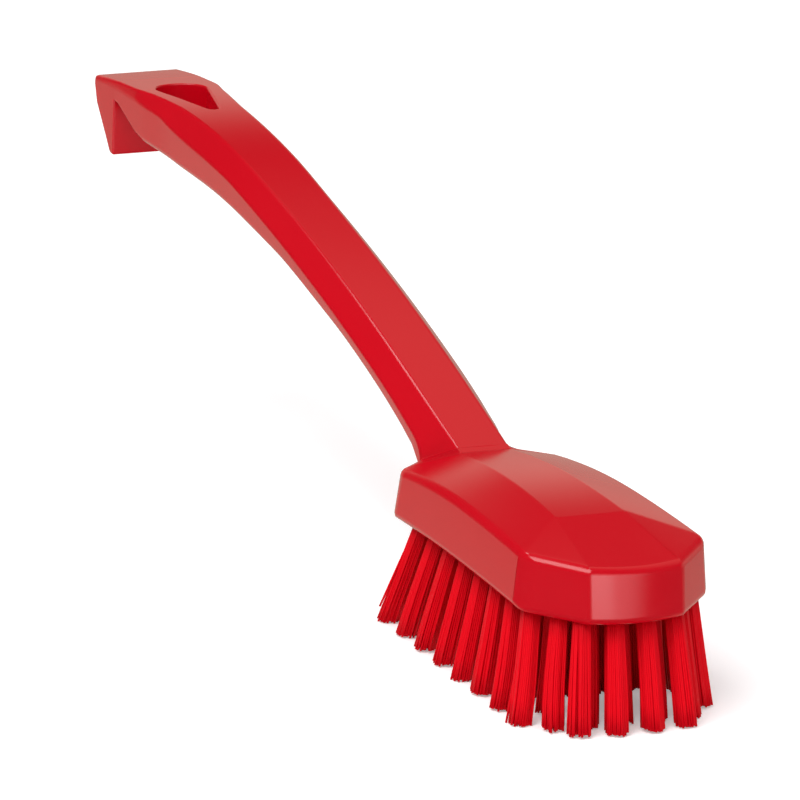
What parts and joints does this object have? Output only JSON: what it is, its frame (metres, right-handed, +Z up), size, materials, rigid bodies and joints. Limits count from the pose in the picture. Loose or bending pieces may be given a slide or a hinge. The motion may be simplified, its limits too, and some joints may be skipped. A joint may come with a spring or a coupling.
{
  "type": "hand brush",
  "caption": "Hand brush with a faceted block of splayed bristle tufts and a long rising handle that ends in a hook and a hanging hole.",
  "frame": {"origin": "centre of the brush's box, on the plane of the bristle tips", "axes": "+X along the brush towards the front of its block, +Y across it, +Z up through the block"},
  "size_m": [0.2862, 0.0476, 0.0709],
  "materials": {
    "moulded_plastic": "satin moulded polypropylene, dyed through",
    "filament": "satin polyester filament"
  },
  "bodies": {
    "root": {"brush_body": "moulded_plastic", "tuft_01": "filament", "tuft_02": "filament", "tuft_03": "filament", "tuft_04": "filament", "tuft_05": "filament", "tuft_06": "filament", "tuft_07": "filament", "tuft_08": "filament", "tuft_09": "filament", "tuft_10": "filament", "tuft_11": "filament", "tuft_12": "filament", "tuft_13": "filament", "tuft_14": "filament", "tuft_15": "filament", "tuft_16": "filament", "tuft_17": "filament", "tuft_18": "filament", "tuft_19": "filament", "tuft_20": "filament", "tuft_21": "filament", "tuft_22": "filament", "tuft_23": "filament", "tuft_24": "filament", "tuft_25": "filament", "tuft_26": "filament", "tuft_27": "filament", "tuft_28": "filament", "tuft_29": "filament", "tuft_30": "filament", "tuft_31": "filament", "tuft_32": "filament", "tuft_33": "filament", "tuft_34": "filament", "tuft_35": "filament", "tuft_36": "filament", "tuft_37": "filament", "tuft_38": "filament", "tuft_39": "filament", "tuft_40": "filament", "tuft_41": "filament", "tuft_42": "filament", "tuft_43": "filament", "tuft_44": "filament", "tuft_45": "filament", "tuft_46": "filament", "tuft_47": "filament", "tuft_48": "filament", "tuft_49": "filament", "tuft_50": "filament", "tuft_51": "filament", "tuft_52": "filament", "tuft_53": "filament", "tuft_54": "filament", "tuft_55": "filament", "tuft_56": "filament", "tuft_57": "filament", "tuft_58": "filament", "tuft_59": "filament"}
  },
  "joints": []
}
